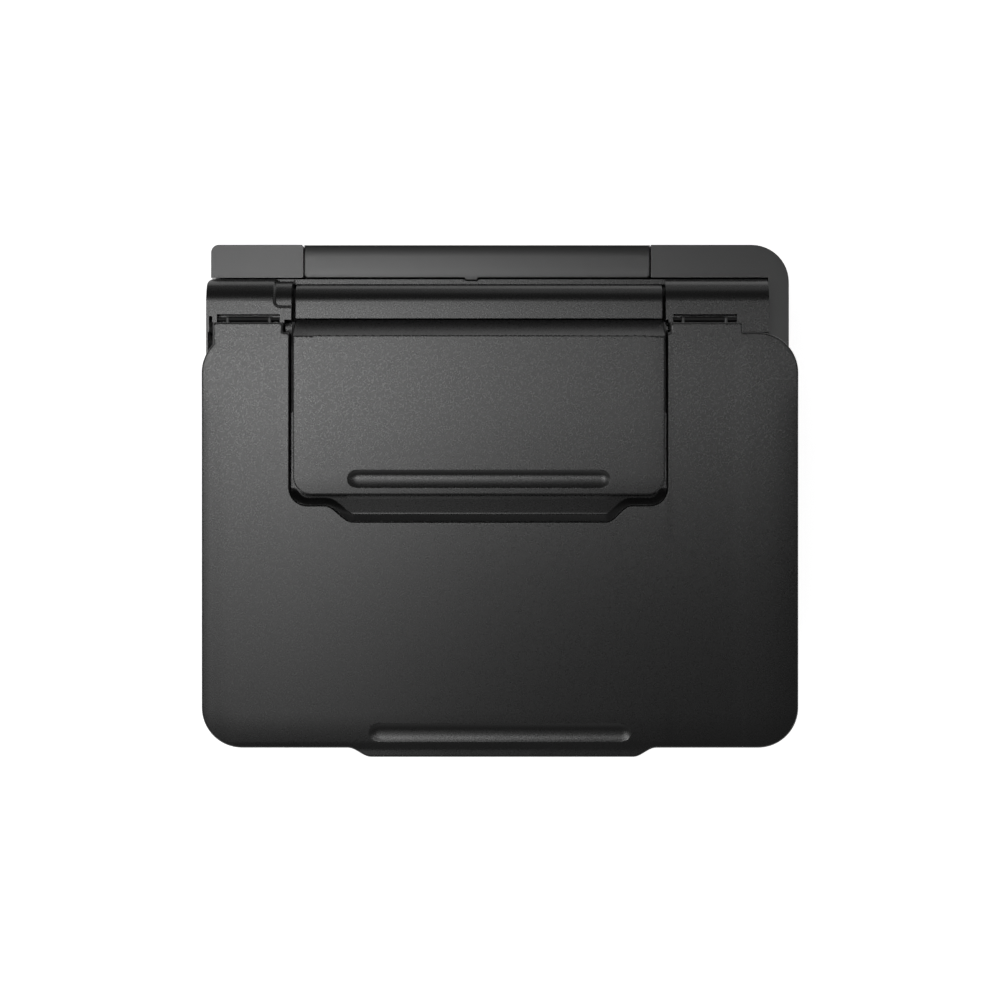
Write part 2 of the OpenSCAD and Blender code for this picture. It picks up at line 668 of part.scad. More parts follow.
// Hinge housing, hollow. tab is where the lid's tab lies, slot its hinge,
// notch the step beside the tab.
module house(x, tab, slot, notch, corner) difference() {
    intersection() {
        along_x(x) polygon(house_side(0));
        upright([100, 200]) polygon(round_rect(x[0], 100, x[1], scan_rear + 0.01, [0, 0, 0, corner]));
    }
    along_x([x[0] + 2, x[1] - 2]) polygon([
        [scan_rear - 3, band_z - 2], [scan_rear - 3.4, housing_z - 16], [scan_rear - 9, housing_z - 8],
        [133, housing_z - 4], [127.6, housing_z - 4], [127.6, band_z - 2]]);
    box(tab, [100, 119.6], [band_z + 0.6, 200]);
    box(notch, [100, 121.5], [band_z + 0.6, 200]);
    if (corner > 0) box([x[0] + 2, tab[0]], [100, 123.9], [band_z + 0.6, 200]);
    box([slot[0], slot[1]], [117, 125.2], [housing_z - 9, 200]);
    for (s = [0, 1]) rod_x([slot[s] - 2.6, slot[s] + 2.6], lid_axis, 1.6 + pin_gap);
    // shallow corner pocket of the left housing
    if (corner > 0) difference() {
        upright([band_z + 4, 200]) polygon(round_rect(-155.8, 129.2, x[1] + 8, 180, [5, 0, 0, 0]));
        along_x([-160, x[1] + 9]) polygon(house_side(1.6));
    }
}
module platen_glass() color("#aebfc4")
    box(glass_x, glass_y, [144.8, 147.8]);
module cis_carriage() color("#151516") {
    box([-168, -150], [-146, 70], [132, 140]);
    box([-164, -154], [-140, 64], [140, 142]);
    for (y = [[-154, -147], [69, 76.5]]) box([-168, -150], [y[0], y[1]], [137.4, 139.6]);
}

// ---------- lid ----------

function s_curve(a, b, n) = [for (i = [0:n])
    [a[0] + (b[0] - a[0]) * i / n, a[1] + (b[1] - a[1]) * (1 - cos(180 * i / n)) / 2]];
module lid_outline(inset = 0)
    polygon(round_rect(-half_w + inset, lid_front_y + inset, half_w - inset, lid_rear_y - inset,
                       shrink([27.25, 27.25, 27.25, 27.25], inset)));
// Opening around the document feeder, with stepped front corners
well_front = -17.2;
module well_outline(grow = 0) polygon(concat(
    [[well_x1 + grow, 130], [well_x0 - grow, 130]],
    arc([well_x0 + 12.4, 6.2], 12.4 + grow, 180, 270, 6),
    s_curve([-119.5, -6.2 - grow], [-99.2, well_front - grow], 6),
    s_curve([71.7, well_front - grow], [89, -6.2 - grow], 6),
    arc([well_x1 - 12.4, 6.2], 12.4 + grow, 270, 360, 6)));
lip_x0 = [-103, -87];
lip_x1 = [90, 105.6];
knuckle_slots = [[-194.1, -150.9], [118.6, 162.4]];

module lid_cover() color("#262628") {
    difference() {
        union() {
            upright([158.4, top_z]) lid_outline();
            upright([176, 190]) polygon(concat(
                [[lip_x1[1], lid_front_y + 4], [lip_x0[0], lid_front_y + 4]],
                s_curve([lip_x0[0], lid_front_y + 0.01], [lip_x0[1], lip_y], 6),
                s_curve([lip_x1[0], lip_y], [lip_x1[1], lid_front_y + 0.01], 6)));
        }
        difference() {
            upright([157, top_z - wall]) lid_outline(wall);
            upright([156, top_z]) well_outline(wall);
        }
        upright([157, top_z + 1]) well_outline();
        // finger groove along the front
        upright([top_z - 1.6, top_z + 1])
            polygon(round_rect(-88.5, -165, 88.5, -153, [5.9, 5.9, 5.9, 5.9]));
    }
    // tabs that reach over the hinge housings
    for (x = [[-193.8, -146.8], [115.2, 164]]) box(x, [lid_rear_y - 3, 117.6], [184, 191]);
    for (x = knuckle_slots) {
        box([x[0] + 8, x[1] - 8], [lid_rear_y - 1, lid_axis[0]],
            [lid_axis[1] - 2.4, lid_axis[1] + 2.4]);
        rod_x([x[0] + 8, x[1] - 8], lid_axis, 2.4);
        rod_x([x[0] - 2.3, x[1] + 2.3], lid_axis, 1.6);
    }
}
module lid_base() color("#1d1d1f") {
    difference() {
        upright([lid_z, 158]) lid_outline(0.5);
        upright([lid_z + wall, 159]) lid_outline(0.5 + wall);
    }
    for (y = [-120, -60, 0, 60]) box([-190, 190], [y, y + 2], [lid_z + 1, 157.6]);
}
module pressure_sheet() color("#efefec")
    box([-172, 128], [-147, 70], [148.4, lid_z - 0.1]);

// ---------- document feeder ----------

feed_room = [adf_cx - 108, adf_cx + 108];
feeder_roller_at = [84, 170];
module adf_frame() color("#17171a") {
    difference() {
        along_x([well_x0 + 0.6, well_x1 - 0.6]) polygon([
            [-16.4, 158.4], [119.4, 158.4], [119.4, 166.4], [102.4, 166.4], [102.4, 183.2],
            [8, 183.2], [3, 181.2], [-11.6, 184], [-16.4, 184]]);
        // stepped front corners of the opening
        difference() {
            box([well_x0 - 1, well_x1 + 1], [-20, 8], [150, 200]);
            upright([149, 201]) well_outline(-0.6);
        }
        box(feed_room, [60, 99], [160.8, 190]);
        along_x([feed_room[0] - 8, feed_room[1] + 8])
            polygon([[-5, 160.8], [56, 160.8], [56, 180.8], [4, 178.6], [-5, 180]]);
        rod_x([feed_room[0] - 4, feed_room[1] + 4], feeder_roller_at, 2 + pin_gap);
    }
    // cheeks that carry the document tray's pins
    for (x = [[well_x0 + 0.6, adf_x0 - 0.4], [adf_x1 + 0.4, well_x1 - 0.6]]) difference() {
        along_x(x) polygon([[102.4, 160], [119.4, 160], [119.4, 176], [114, 181], [102.4, 183]]);
        rod_x([x[0] - 1, x[1] + 1], tray_axis, 1.2 + pin_gap);
    }
}
module adf_pickup_roller() color("#4a4b4d") {
    rod_x([feed_room[0] - 3.6, feed_room[1] + 3.6], feeder_roller_at, 2);
    for (x = [[adf_cx - 26, adf_cx - 6], [adf_cx + 6, adf_cx + 26]]) rod_x(x, feeder_roller_at, 7.5);
}
module feeder_cover() color("#29292b") {
    x = [adf_x0 - 0.8, adf_x1 + 0.4];
    difference() {
        along_x(x) polygon(concat([[121.8, 151], [147.3, 151]],
            arc([133.5, 157.4], 13.8, 0, 90, 14), [[121.8, 171.2]]));
        along_x([x[0] + 2, x[1] - 2])
            polygon(concat([[124, 150], [145, 150]], arc([133.5, 157.4], 11.5, 0, 90, 8),
                [[124, 168.9]]));
    }
}
groove = [[-103.2, 74.5], [5.7, 18.2]];
module document_tray() color("#272729") {
    difference() {
        union() {
            intersection() {
                along_x([adf_x0, adf_x1]) polygon([[1.5, 189.4], [104, 189.4], [111, 177], [115, 170.6],
                    [121.2, 171.2], [108.4, top_z], [1.5, top_z]]);
                upright([160, 200]) polygon(round_rect(adf_x0, 1.5, adf_x1, 130, [12, 12, 0, 0]));
            }
            box([groove[0][0] - 2.4, groove[0][1] + 2.4], [groove[1][0] - 2.4, groove[1][1] + 2.4],
                [186, 191]);
        }
        upright([188.2, 200]) polygon(round_rect(groove[0][0], groove[1][0], groove[0][1], groove[1][1],
            [6, 6, 6, 6], 6));
    }
    for (x = [[adf_x0 - 1.8, adf_x0 + 4], [adf_x1 - 4, adf_x1 + 1.4]]) rod_x(x, tray_axis, 1.2);
}
module document_guide(side) color("#333336") {
    x = adf_cx + side * 78;
    box([x - 1.2, x + 1.2], [30, 84], [184.4, 189]);
    box([x - 6, x + 6], [48, 66], [187.2, 189]);
}
module document_guide_left() document_guide(-1);
module document_guide_right() document_guide(1);

bottom_case();
rubber_feet();
left_side_cover();
right_side_cover();
front_bezel();
rear_panel();
transport_cover();
rear_sockets();
power_supply();
chassis();
platen();
pinch_roller_holder();
drive_motors();
carriage_belt();
purge_unit();
rear_feed_ramp();
feed_roller();
feed_idler_gear();
feed_pinion();
eject_roller();
motor_pulley();
idler_pulley();
carriage();
ink_cartridges();
cassette_tray();
cassette_guide_left();
cassette_guide_right();
cassette_length_guide();
pickup_arm();
pickup_roller();
rear_pickup_roller();
rear_guide_left();
rear_guide_right();
output_tray();
output_extension();
output_cover();
paper_support();
rear_tray_cover();
operation_panel();
display();
power_button();
back_button();
arrow_pad();
ok_button();
stop_button();
black_start_button();
colour_start_button();
scanner_base();
scanner_frame();
platen_glass();
cis_carriage();
lid_cover();
lid_base();
pressure_sheet();
adf_frame();
adf_pickup_roller();
feeder_cover();
document_tray();
document_guide_left();
document_guide_right();
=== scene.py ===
import math
import bpy
import numpy as np
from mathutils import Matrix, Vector
from mathutils.geometry import delaunay_2d_cdt


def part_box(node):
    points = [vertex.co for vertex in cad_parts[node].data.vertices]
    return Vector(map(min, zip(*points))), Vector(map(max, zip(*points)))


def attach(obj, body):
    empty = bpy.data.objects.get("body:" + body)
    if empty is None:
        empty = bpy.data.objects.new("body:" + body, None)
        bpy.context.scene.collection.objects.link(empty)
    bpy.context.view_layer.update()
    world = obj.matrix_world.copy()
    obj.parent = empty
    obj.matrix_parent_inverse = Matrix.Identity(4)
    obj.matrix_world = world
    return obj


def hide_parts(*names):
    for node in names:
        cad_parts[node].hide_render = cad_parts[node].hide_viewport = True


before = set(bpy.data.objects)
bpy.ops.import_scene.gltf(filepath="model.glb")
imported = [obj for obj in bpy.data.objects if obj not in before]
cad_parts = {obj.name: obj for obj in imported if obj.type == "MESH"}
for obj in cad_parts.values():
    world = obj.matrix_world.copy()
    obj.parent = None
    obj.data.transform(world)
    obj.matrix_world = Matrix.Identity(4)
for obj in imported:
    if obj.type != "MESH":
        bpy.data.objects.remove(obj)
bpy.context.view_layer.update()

MM = 0.001
ROOM = (0.9, 0.04)   # strength of the room's light at the horizon and overhead

# ---------------------------------------------------------------- materials


def new_material(name):
    m = bpy.data.materials.new(name)
    m.use_nodes = True
    nt = m.node_tree
    return m, nt, nt.nodes["Principled BSDF"]


def link(nt, a, b):
    nt.links.new(a, b)


def noise(nt, coords, scale, detail=2.0, rough=0.5):
    n = nt.nodes.new("ShaderNodeTexNoise")
    n.inputs["Scale"].default_value = scale
    n.inputs["Detail"].default_value = detail
    n.inputs["Roughness"].default_value = rough
    link(nt, coords, n.inputs["Vector"])
    return n.outputs["Fac"]


def ramp(nt, fac, lo, hi, a, b):
    r = nt.nodes.new("ShaderNodeMapRange")
    r.inputs["From Min"].default_value = a
    r.inputs["From Max"].default_value = b
    r.inputs["To Min"].default_value = lo
    r.inputs["To Max"].default_value = hi
    link(nt, fac, r.inputs["Value"])
    return r.outputs["Result"]


def plastic(name, grey, rough, grain=0.00003, grain_scale=900, tint=(1, 1, 1), spec=0.5,
            mottle=0.06, coat=0.0):
    """Moulded plastic: fine spark-erosion grain, slight mottling of tone and gloss."""
    m, nt, bsdf = new_material(name)
    co = nt.nodes.new("ShaderNodeTexCoord").outputs["Object"]
    fine = noise(nt, co, grain_scale, 3.0, 0.6)
    broad = noise(nt, co, 14, 2.0)
    mix = nt.nodes.new("ShaderNodeMix")
    mix.data_type = "RGBA"
    col = [grey * t for t in tint]
    mix.inputs["A"].default_value = (*[c * (1 - mottle) for c in col], 1)
    mix.inputs["B"].default_value = (*[c * (1 + mottle) for c in col], 1)
    link(nt, broad, mix.inputs["Factor"])
    link(nt, mix.outputs["Result"], bsdf.inputs["Base Color"])
    link(nt, ramp(nt, fine, rough - 0.03, rough + 0.03, 0.3, 0.7), bsdf.inputs["Roughness"])
    bump = nt.nodes.new("ShaderNodeBump")
    bump.inputs["Strength"].default_value = 1.0
    bump.inputs["Distance"].default_value = grain
    link(nt, fine, bump.inputs["Height"])
    link(nt, bump.outputs["Normal"], bsdf.inputs["Normal"])
    bsdf.inputs["Specular IOR Level"].default_value = spec
    bsdf.inputs["Coat Weight"].default_value = coat
    bsdf.inputs["Coat Roughness"].default_value = 0.08
    return m


def metal(name, col, rough, brushed=False):
    m, nt, bsdf = new_material(name)
    co = nt.nodes.new("ShaderNodeTexCoord").outputs["Object"]
    if brushed:
        mp = nt.nodes.new("ShaderNodeMapping")
        mp.inputs["Scale"].default_value = (1, 30, 30)
        link(nt, co, mp.inputs["Vector"])
        co = mp.outputs["Vector"]
    fine = noise(nt, co, 60 if brushed else 25, 4.0, 0.6)
    bsdf.inputs["Metallic"].default_value = 1.0
    mix = nt.nodes.new("ShaderNodeMix")
    mix.data_type = "RGBA"
    mix.inputs["A"].default_value = (*[c * 0.86 for c in col], 1)
    mix.inputs["B"].default_value = (*col, 1)
    link(nt, fine, mix.inputs["Factor"])
    link(nt, mix.outputs["Result"], bsdf.inputs["Base Color"])
    link(nt, ramp(nt, fine, rough - 0.06, rough + 0.08, 0.3, 0.7), bsdf.inputs["Roughness"])
    return m


def glass(name):
    m, nt, bsdf = new_material(name)
    co = nt.nodes.new("ShaderNodeTexCoord").outputs["Object"]
    bsdf.inputs["Base Color"].default_value = (0.93, 0.98, 0.97, 1)
    bsdf.inputs["Transmission Weight"].default_value = 1.0
    bsdf.inputs["IOR"].default_value = 1.5
    link(nt, ramp(nt, noise(nt, co, 30), 0.0, 0.04, 0.4, 0.8), bsdf.inputs["Roughness"])
    return m


BLACK = plastic("satin_black", 0.0105, 0.285, grain=0.00001)
BODY = plastic("satin_black_body", 0.0140, 0.33, grain=0.000012, spec=0.7)
PANEL = plastic("gloss_black_panel", 0.008, 0.24, grain=0.00001, coat=0.3)
INNER = plastic("inner_black", 0.014, 0.52)
# black plastic darkened below its own tone: painted shade for the parts deep in the hinge slots and the
# socket openings
PAINTED_SHADE_BLACK = plastic("black_with_painted_shade", 0.006, 0.6)
GREY = plastic("dark_grey_plastic", 0.035, 0.45)
KEY = plastic("key_grey", 0.05, 0.4)
SILVER = plastic("silver_key", 0.42, 0.32, mottle=0.02)
RED = plastic("red_key", 0.16, 0.4, tint=(1, 0.12, 0.08))
ACETAL = plastic("natural_acetal", 0.62, 0.42, tint=(1, 0.97, 0.9))
RUBBER = plastic("rubber", 0.018, 0.75, grain=0.00008, grain_scale=500)
WHITE = plastic("white_foam_sheet", 0.72, 0.6, grain=0.00006)
STEEL = metal("zinc_plated_steel", (0.55, 0.56, 0.58), 0.34)
SHAFT = metal("ground_steel", (0.66, 0.66, 0.67), 0.22, True)
BRASS = metal("brass", (0.72, 0.53, 0.24), 0.3, True)
GLASS = glass("scanner_glass")
SCREEN = plastic("display_window", 0.004, 0.12, grain=0.000002, coat=1.0)

# material of each CAD node
LOOK = {
    "rubber_feet": RUBBER, "bottom_case": INNER, "left_side_cover": BODY, "right_side_cover": BODY,
    "front_bezel": BODY, "rear_panel": BODY, "transport_cover": GREY, "rear_sockets": PAINTED_SHADE_BLACK,
    # the rear sockets take the black with painted shade
    "power_supply": STEEL, "chassis": STEEL, "platen": INNER, "pinch_roller_holder": INNER,
    "drive_motors": STEEL,
    "carriage_belt": RUBBER, "purge_unit": INNER, "rear_feed_ramp": INNER, "feed_roller": RUBBER,
    "feed_idler_gear": ACETAL, "feed_pinion": BRASS, "eject_roller": RUBBER, "motor_pulley": ACETAL,
    "idler_pulley": ACETAL, "carriage": GREY, "ink_cartridges": INNER, "cassette_tray": BODY,
    "cassette_guide_left": GREY, "cassette_guide_right": GREY, "cassette_length_guide": GREY,
    "pickup_arm": INNER, "pickup_roller": RUBBER, "rear_pickup_roller": RUBBER, "rear_guide_left": GREY,
    "rear_guide_right": GREY, "output_tray": BODY, "output_extension": GREY, "output_cover": BODY,
    "paper_support": BODY, "rear_tray_cover": BODY, "operation_panel": PANEL, "display": SCREEN,
    "power_button": SILVER, "back_button": KEY, "arrow_pad": KEY, "ok_button": GREY, "stop_button": RED,
    "black_start_button": KEY, "colour_start_button": KEY, "scanner_base": BODY, "scanner_frame": BLACK,
    "platen_glass": GLASS, "cis_carriage": INNER, "lid_cover": BLACK, "lid_base": BODY,
    "pressure_sheet": WHITE, "adf_frame": INNER, "adf_pickup_roller": RUBBER, "feeder_cover": BLACK,
    "document_tray": BLACK, "document_guide_left": GREY, "document_guide_right": GREY,
}

# ---------------------------------------------------------------- CAD nodes: soft edges and smooth curves


def smooth_group(angle=32):
    g = bpy.data.node_groups.new("smooth_by_angle", "GeometryNodeTree")
    g.interface.new_socket("Geometry", in_out="INPUT", socket_type="NodeSocketGeometry")
    g.interface.new_socket("Geometry", in_out="OUTPUT", socket_type="NodeSocketGeometry")
    a = g.nodes.new("NodeGroupInput")
    b = g.nodes.new("NodeGroupOutput")
    face = g.nodes.new("GeometryNodeSetShadeSmooth")
    face.domain = "FACE"
    edge = g.nodes.new("GeometryNodeSetShadeSmooth")
    edge.domain = "EDGE"
    edge.inputs["Shade Smooth"].default_value = False
    ang = g.nodes.new("GeometryNodeInputMeshEdgeAngle")
    cmp = g.nodes.new("FunctionNodeCompare")
    cmp.data_type = "FLOAT"
    cmp.operation = "GREATER_THAN"
    cmp.inputs["B"].default_value = math.radians(angle)
    g.links.new(ang.outputs["Unsigned Angle"], cmp.inputs["A"])
    g.links.new(a.outputs[0], face.inputs["Geometry"])
    g.links.new(face.outputs[0], edge.inputs["Geometry"])
    g.links.new(cmp.outputs["Result"], edge.inputs["Selection"])
    g.links.new(edge.outputs[0], b.inputs[0])
    return g


SMOOTH = smooth_group()


def soften(o, width):
    """Merge doubled points, join flat faces, round the sharp edges by width metres, smooth the rest."""
    w = o.modifiers.new("weld", "WELD")
    w.merge_threshold = 0.00001
    d = o.modifiers.new("flat_faces", "DECIMATE")
    d.decimate_type = "DISSOLVE"
    d.angle_limit = math.radians(0.5)
    if width:
        b = o.modifiers.new("edge", "BEVEL")
        b.width = width
        b.segments = 2
        b.limit_method = "ANGLE"
        b.angle_limit = math.radians(35)
        b.use_clamp_overlap = True
        b.miter_outer = "MITER_ARC"
    s = o.modifiers.new("smooth", "NODES")
    s.node_group = SMOOTH
    wn = o.modifiers.new("normals", "WEIGHTED_NORMAL")
    wn.keep_sharp = True
    wn.mode = "FACE_AREA"


# radius of the softened edges in metres, where it isn't the usual 0.3 mm
EDGE = {"left_side_cover": 0.0007, "right_side_cover": 0.0007, "front_bezel": 0.0006,
        "scanner_frame": 0.0008, "scanner_base": 0.0005, "lid_base": 0.0008, "feeder_cover": 0.0008,
        "rear_panel": 0.0004,
        "chassis": 0.0, "platen_glass": 0.0003, "display": 0.0, "carriage_belt": 0.0}
for name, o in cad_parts.items():
    o.data.materials.clear()
    o.data.materials.append(LOOK[name])
    soften(o, EDGE.get(name, 0.0003))

# ---------------------------------------------------------------- helpers for the skins


def arc(cx, cy, r, a, b, n):
    t = np.radians(np.linspace(a, b, n + 1))
    return [(cx + r * math.cos(k), cy + r * math.sin(k)) for k in t]


def round_rect(x0, y0, x1, y1, r, n=16):
    """Counter-clockwise, radii front left, front right, rear right, rear left."""
    out = []
    corners = ((x0, y0, 180), (x1, y0, 270), (x1, y1, 0), (x0, y1, 90))
    for (cx, cy, a), rr in zip(corners, r):
        if rr <= 0:
            out.append((cx, cy))
            continue
        sx = 1 if cx == x0 else -1
        sy = 1 if cy == y0 else -1
        out += arc(cx + sx * rr, cy + sy * rr, rr, a, a + 90, n)
    return out


def s_curve(a, b, n):
    return [(a[0] + (b[0] - a[0]) * i / n, a[1] + (b[1] - a[1]) * (1 - math.cos(math.pi * i / n)) / 2)
            for i in range(n + 1)]


def fillet(points, radii, n):
    """Rounds the corners of a closed loop, one radius for each."""
    out = []
    k = len(points)
    for i in range(k):
        p, a, b = (np.array(points[j % k], float) for j in (i, i - 1, i + 1))
        r = radii[i]
        u, v = a - p, b - p
        lu, lv = np.linalg.norm(u), np.linalg.norm(v)
        if r <= 0 or lu < 1e-6 or lv < 1e-6:
            out.append(tuple(p))
            continue
        u, v = u / lu, v / lv
        half = math.acos(max(-1, min(1, float(u @ v)))) / 2
        t = min(r / math.tan(half), 0.49 * min(lu, lv)) if half > 1e-3 else 0
        if half > math.radians(89):
            out.append(tuple(p))
            continue
        q0, q1 = p + u * t, p + v * t
        for s in np.linspace(0, 1, n + 1):
            out.append(tuple((1 - s) ** 2 * q0 + 2 * s * (1 - s) * p + s * s * q1))
    return out


def densify(loop, step):
    """A closed loop with points no further apart than step, and none doubled."""
    out = []
    for i, p in enumerate(loop):
        q = loop[(i + 1) % len(loop)]
        n = max(1, int(math.ceil(math.dist(p, q) / step)))
        for k in range(n):
            out.append((p[0] + (q[0] - p[0]) * k / n, p[1] + (q[1] - p[1]) * k / n))
    keep = [out[0]]
    for p in out[1:]:
        if math.dist(p, keep[-1]) > 0.02:
            keep.append(p)
    if math.dist(keep[0], keep[-1]) < 0.02:
        keep.pop()
    return np.array(keep)


def outward(loop):
    """Unit normals of a counter-clockwise loop."""
    d = np.roll(loop, -1, 0) - np.roll(loop, 1, 0)
    n = np.stack([d[:, 1], -d[:, 0]], 1)
    return n / np.maximum(np.linalg.norm(n, axis=1, keepdims=True), 1e-9)


def signed(loop, pts):
    """Distance inside a closed loop, negative outside."""
    a, b = loop, np.roll(loop, -1, 0)
    ab = b - a
    best = np.full(len(pts), 1e9)
    for s in range(0, len(pts), 4000):
        p = pts[s:s + 4000, None, :]
        t = np.clip(((p - a) * ab).sum(-1) / np.maximum((ab * ab).sum(-1), 1e-12), 0, 1)
        best[s:s + 4000] = np.sqrt(((p - (a + t[..., None] * ab)) ** 2).sum(-1)).min(1)
    x, y = pts[:, 0][:, None], pts[:, 1][:, None]
    cross = (a[:, 1] > y) != (b[:, 1] > y)
    dy = np.where(np.abs(b[:, 1] - a[:, 1]) < 1e-12, 1e-12, b[:, 1] - a[:, 1])
    inside = (cross & (x < (b[:, 0] - a[:, 0]) * (y - a[:, 1]) / dy + a[:, 0])).sum(1) % 2 == 1
    return np.where(inside, best, -best)


def obj_from(name, verts, faces, normals, material, body, replaces=()):
    me = bpy.data.meshes.new(name)
    me.from_pydata([tuple(v) for v in np.asarray(verts) * MM], [], faces)
    me.update()
    if normals is not None:
        me.shade_smooth()
        me.normals_split_custom_set_from_vertices([tuple(n) for n in normals])
    me.materials.append(material)
    o = bpy.data.objects.new(name, me)
    bpy.context.scene.collection.objects.link(o)
    if replaces:
        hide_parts(*replaces)
    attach(o, body)
    return o


def skin(name, loop, height, bottom, material, body, replaces=(), *, rings, features=(), step=2.0,
         grid=9.0, skirt=(), lines=()):
    """A moulded cover: a top of the given height inside the outline, a wall down to the bottom.

    height(points, distance from the edge) gives z in millimetres. rings are the distances from the edge
    at which points are laid. features are (loop, offsets) and lines are points, where closer ones are
    needed. skirt lists (z, function moving the outline) between the edge and the bottom."""
    edge = densify(loop, step)
    nrm = outward(edge)
    pts = [edge]
    for r in rings:
        q = edge - nrm * r
        pts.append(q[signed(edge, q) > r * 0.93])
    for f, offs in features:
        fl = densify(f, step * 0.7)
        fn = outward(fl)
        for r in offs:
            q = fl - fn * r
            pts.append(q[signed(edge, q) > 1.0])
    for q in lines:
        q = np.asarray(q, float)
        pts.append(q[signed(edge, q) > 0.3])
    lo, hi = edge.min(0), edge.max(0)
    gx, gy = np.meshgrid(np.arange(lo[0] + grid / 2, hi[0], grid),
                         np.arange(lo[1] + grid / 2, hi[1], grid))
    q = np.stack([gx.ravel(), gy.ravel()], 1)
    pts.append(q[signed(edge, q) > max(rings[-1] * 0.9, 3)])
    allp = np.concatenate(pts)
    n_edge = len(edge)
    edges = [(i, (i + 1) % n_edge) for i in range(n_edge)]
    co, _, faces, orig, _, _ = delaunay_2d_cdt([Vector(p) for p in allp], edges, [], 1, 1e-5)
    co = np.array([tuple(c) for c in co])
    faces = [f for f in faces if len(f) == 3]
    cen = np.array([co[list(f)].mean(0) for f in faces])
    ok = signed(edge, cen) > 0
    faces = [f for f, k in zip(faces, ok) if k]
    d = np.maximum(signed(edge, co), 0)
    z = height(co, d)
    e = 0.04   # step for the slopes

    def at(p):
        return height(p, np.maximum(signed(edge, p), 0))

    gxd = (at(co + [e, 0]) - at(co - [e, 0])) / (2 * e)
    gyd = (at(co + [0, e]) - at(co - [0, e])) / (2 * e)
    nn = np.stack([-gxd, -gyd, np.ones(len(co))], 1)
    nn /= np.linalg.norm(nn, axis=1, keepdims=True)
    # boundary vertices look outwards, so the top runs smoothly into the wall
    first = {}
    for i, o in enumerate(orig):
        for k in o:
            if k < n_edge:
                first[k] = i
    rim = [first[k] for k in range(n_edge)]
    for k, i in enumerate(rim):
        nn[i] = (nrm[k][0], nrm[k][1], 0.25)
        nn[i] /= np.linalg.norm(nn[i])
    verts = [(*c, zz) for c, zz in zip(co, z)]
    normals = [tuple(n) for n in nn]
    tris = [f if np.cross(co[f[1]] - co[f[0]], co[f[2]] - co[f[0]]) > 0 else f[::-1]
            for f in map(tuple, faces)]
    under = bottom if callable(bottom) else (lambda q: np.full(len(q), float(bottom)))
    prev = rim
    for zz, fn in list(skirt) + [(None, skirt[-1][1] if skirt else None)]:
        ring = fn(edge) if fn else edge
        zs = under(ring) if zz is None else np.full(n_edge, float(zz))
        row = list(range(len(verts), len(verts) + n_edge))
        verts += [(x, y, z1) for (x, y), z1 in zip(ring, zs)]
        normals += [(a, b, 0) for a, b in nrm]
        tris += [(prev[k], row[k], row[(k + 1) % n_edge], prev[(k + 1) % n_edge]) for k in range(n_edge)]
        prev = row
    # underside, from the same points
    last = skirt[-1][1] if skirt else None
    low = last(co) if last else co
    base = len(verts)
    verts += [(x, y, z1) for (x, y), z1 in zip(low, under(low))]
    normals += [(0, 0, -1)] * len(co)
    tris += [tuple(base + i for i in f[::-1]) for f in tris if len(f) == 3 and max(f) < base]
    return obj_from(name, verts, tris, normals, material, body, replaces)


def rounded_edge(d, r, crown, reach, power=2.2):
    """Drop below the top: a fillet of radius r and a soft crown over the last stretch to the edge."""
    f = r - np.sqrt(np.maximum(r * r - (r - np.minimum(d, r)) ** 2, 0))
    c = crown * np.maximum(0, 1 - d / reach) ** power
    return f + c


def smoothstep(x, a, b):
    t = np.clip((x - a) / (b - a), 0, 1)
    return t * t * (3 - 2 * t)


def rr_dist(p, x0, y0, x1, y1, r):
    """Signed distance inside a rounded rectangle."""
    c = np.array([(x0 + x1) / 2, (y0 + y1) / 2])
    h = np.array([(x1 - x0) / 2 - r, (y1 - y0) / 2 - r])
    q = np.abs(p - c) - h
    out = np.linalg.norm(np.maximum(q, 0), axis=1) + np.minimum(q.max(1), 0) - r
    return -out


# ---------------------------------------------------------------- lid cover

_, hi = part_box("lid_cover")
TOP = hi.z / MM
HALF = hi.x / MM
FRONT, REAR, CORNER = -169.6, 111, 27.25   # straight edges of the lid and its corner radius
LIP = -175.8                               # front edge of the finger lip
WX0, WX1, WELL_R = -142.5, 113.5, 12.4     # sides of the opening round the feeder, and its corners
TABS = ((-193.8, -146.8), (115.2, 164))    # tongues over the hinge housings
TAB_END = 117.6
GROOVE = (-88.5, -165.3, 88.5, -152.8)     # finger groove in the lid
SCOOP_R = 6.2                              # round ends of both finger grooves
SCOOP_RINGS = (-0.8, -0.1, 0.1, 0.6, 1.2, 2.0, 3.0, 4.2, 5.4)
# front edge of the opening round the document feeder, from right to left
well_front = (arc(WX1 - WELL_R, 6.2, WELL_R, 0, -90, 12) + s_curve((89, -6.2), (71.7, -17.2), 12)
              + s_curve((-99.2, -17.2), (-118.5, -6.2), 12)
              + arc(WX0 + WELL_R, 6.2, WELL_R, 270, 180, 12))
lid_loop = (arc(-HALF + CORNER, FRONT + CORNER, CORNER, 180, 270, 20)
            + s_curve((-103, FRONT), (-87, LIP), 10)
            + s_curve((90, LIP), (105.6, FRONT), 10)
            + arc(HALF - CORNER, FRONT + CORNER, CORNER, 270, 360, 20)
            + arc(HALF - CORNER, REAR - CORNER, CORNER, 0, 90, 20)
            + [(TABS[1][1], REAR), (TABS[1][1], TAB_END), (TABS[1][0], TAB_END), (TABS[1][0], REAR)]
            + [(WX1, REAR)] + well_front + [(WX0, REAR)]
            + [(TABS[0][1], REAR), (TABS[0][1], TAB_END), (TABS[0][0], TAB_END)]
            + arc(-HALF + CORNER, REAR - CORNER, CORNER, 135.9, 180, 12))
# the lid without its tongues, lip and opening, for how far a point is from its outer edge
outer_loop = densify(round_rect(-HALF, FRONT, HALF, REAR, [CORNER] * 4), 2.5)


